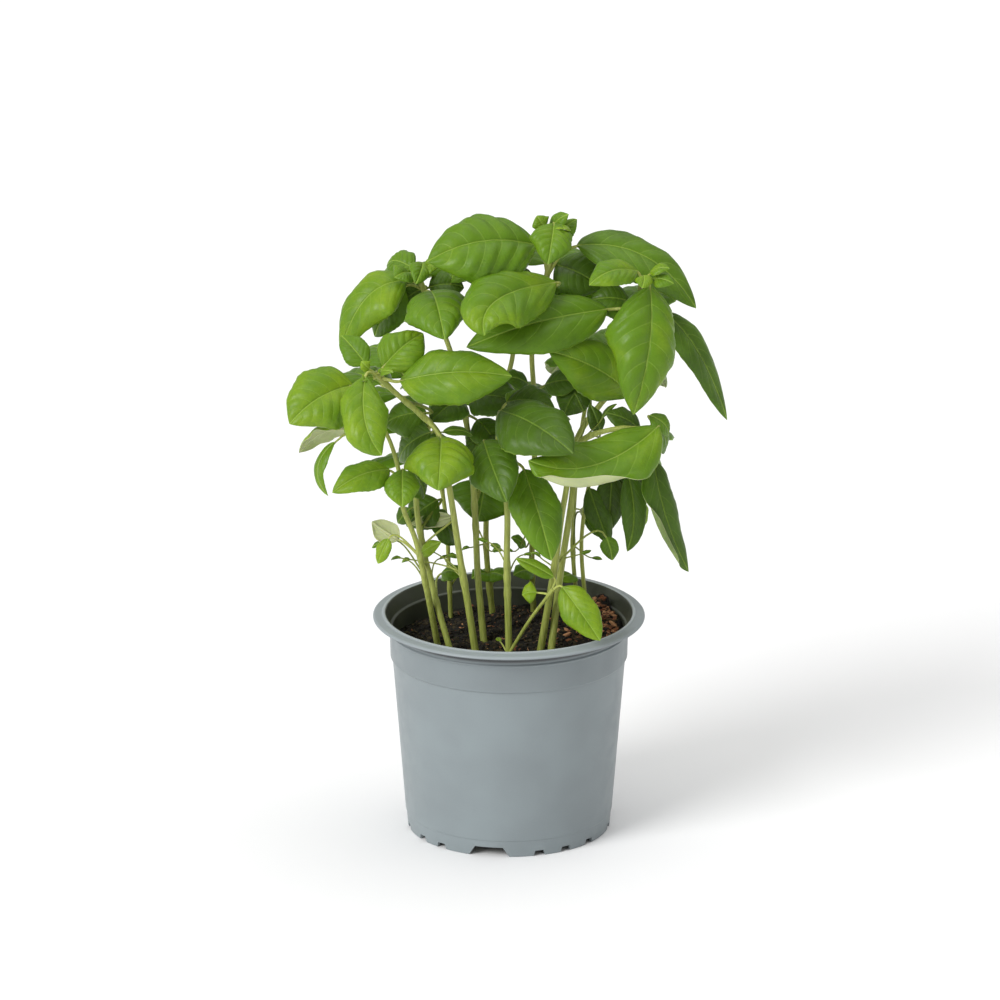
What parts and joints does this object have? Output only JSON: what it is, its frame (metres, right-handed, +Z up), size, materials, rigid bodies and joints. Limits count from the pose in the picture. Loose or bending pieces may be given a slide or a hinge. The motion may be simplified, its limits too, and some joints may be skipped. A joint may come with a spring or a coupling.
{
  "type": "potted basil plant",
  "caption": "Sweet basil plant with broad glossy leaves on upright stems, growing in soil in a round plastic nursery pot.",
  "frame": {"origin": "on the floor, on the pot's axis", "axes": "+Z up, -Y towards the front of the plant, +X to the right seen from the front"},
  "size_m": [0.209, 0.142, 0.304],
  "materials": {
    "pot_plastic": "satin",
    "soil": "matte",
    "basil_leaf": "satin"
  },
  "bodies": {
    "root": {"pot": "pot_plastic", "soil": "soil", "shoot_crown": "basil_leaf", "shoot_top_left": "basil_leaf", "shoot_left": "basil_leaf", "shoot_low_left": "basil_leaf", "shoot_middle_left": "basil_leaf", "shoot_right": "basil_leaf", "shoot_right_front": "basil_leaf", "shoot_front": "basil_leaf", "shoot_back_left": "basil_leaf", "shoot_back_middle": "basil_leaf", "shoot_back_right": "basil_leaf", "shoot_low_right": "basil_leaf", "sprig_front": "basil_leaf"}
  },
  "joints": []
}
